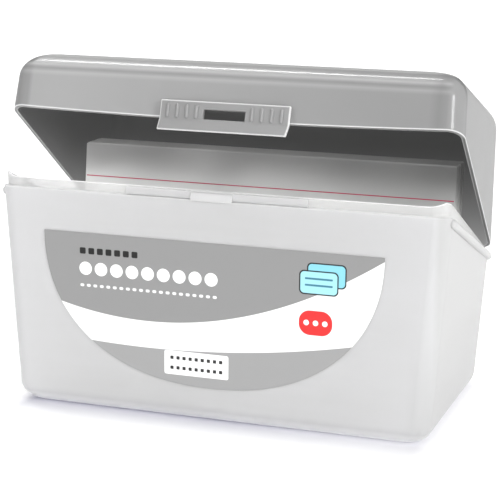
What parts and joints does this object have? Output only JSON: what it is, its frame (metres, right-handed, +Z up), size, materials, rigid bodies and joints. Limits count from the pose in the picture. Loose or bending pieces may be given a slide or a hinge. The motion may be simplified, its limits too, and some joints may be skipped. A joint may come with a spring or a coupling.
{
  "type": "index card file box",
  "caption": "Desk file box for 3 x 5 inch cards: frosted base with slanted sides, grey hinged lid with a sprung latch tab, front label and a short deck of cards.",
  "frame": {"origin": "middle of the base's flat underside, so that the box stands on Z = 0", "axes": "+Z up, +X to the right as seen from the front, the front wall with its label faces -Y and the hinge is at +Y"},
  "size_m": [0.1458, 0.0858, 0.11],
  "materials": {
    "frosted_plastic": "frosted, slightly translucent",
    "grey_plastic": "satin, smoky translucent grey",
    "label_paper": "semi-matt print in two greys and white",
    "card_paper": "matt, ruled on the front card"
  },
  "bodies": {
    "base": {"base_box": "frosted_plastic", "front_label": "label_paper", "card_02": "card_paper", "card_03": "card_paper", "card_04": "card_paper", "card_05": "card_paper", "card_06": "card_paper", "card_07": "card_paper", "card_08": "card_paper", "card_09": "card_paper", "card_10": "card_paper", "card_11": "card_paper", "card_12": "card_paper", "card_13": "card_paper", "card_14": "card_paper", "card_15": "card_paper", "card_16": "card_paper", "card_17": "card_paper", "card_18": "card_paper", "card_19": "card_paper", "card_20": "card_paper"},
    "lid": {"lid_shell": "grey_plastic"},
    "latch": {"latch_tab": "grey_plastic"},
    "front_card": {"card_01": "card_paper"}
  },
  "joints": [
    {"name": "lid_hinge", "type": "hinge", "parent": "base", "child": "lid", "pos_m": [0, 0.0414, 0.0479], "axis": [-1, 0, 0], "range_deg": [-17.2, 92.8]},
    {"name": "latch_flex", "type": "hinge", "parent": "lid", "child": "latch", "pos_m": [0, -0.02809, 0.09804], "axis": [-1, 0, 0], "range_deg": [0, 8], "stiffness_Nm_per_rad": 0.2},
    {"name": "front_card_tip", "type": "hinge", "parent": "base", "child": "front_card", "pos_m": [0, 0.00251, 0.0022], "axis": [1, 0, 0], "range_deg": [0, 34]}
  ]
}
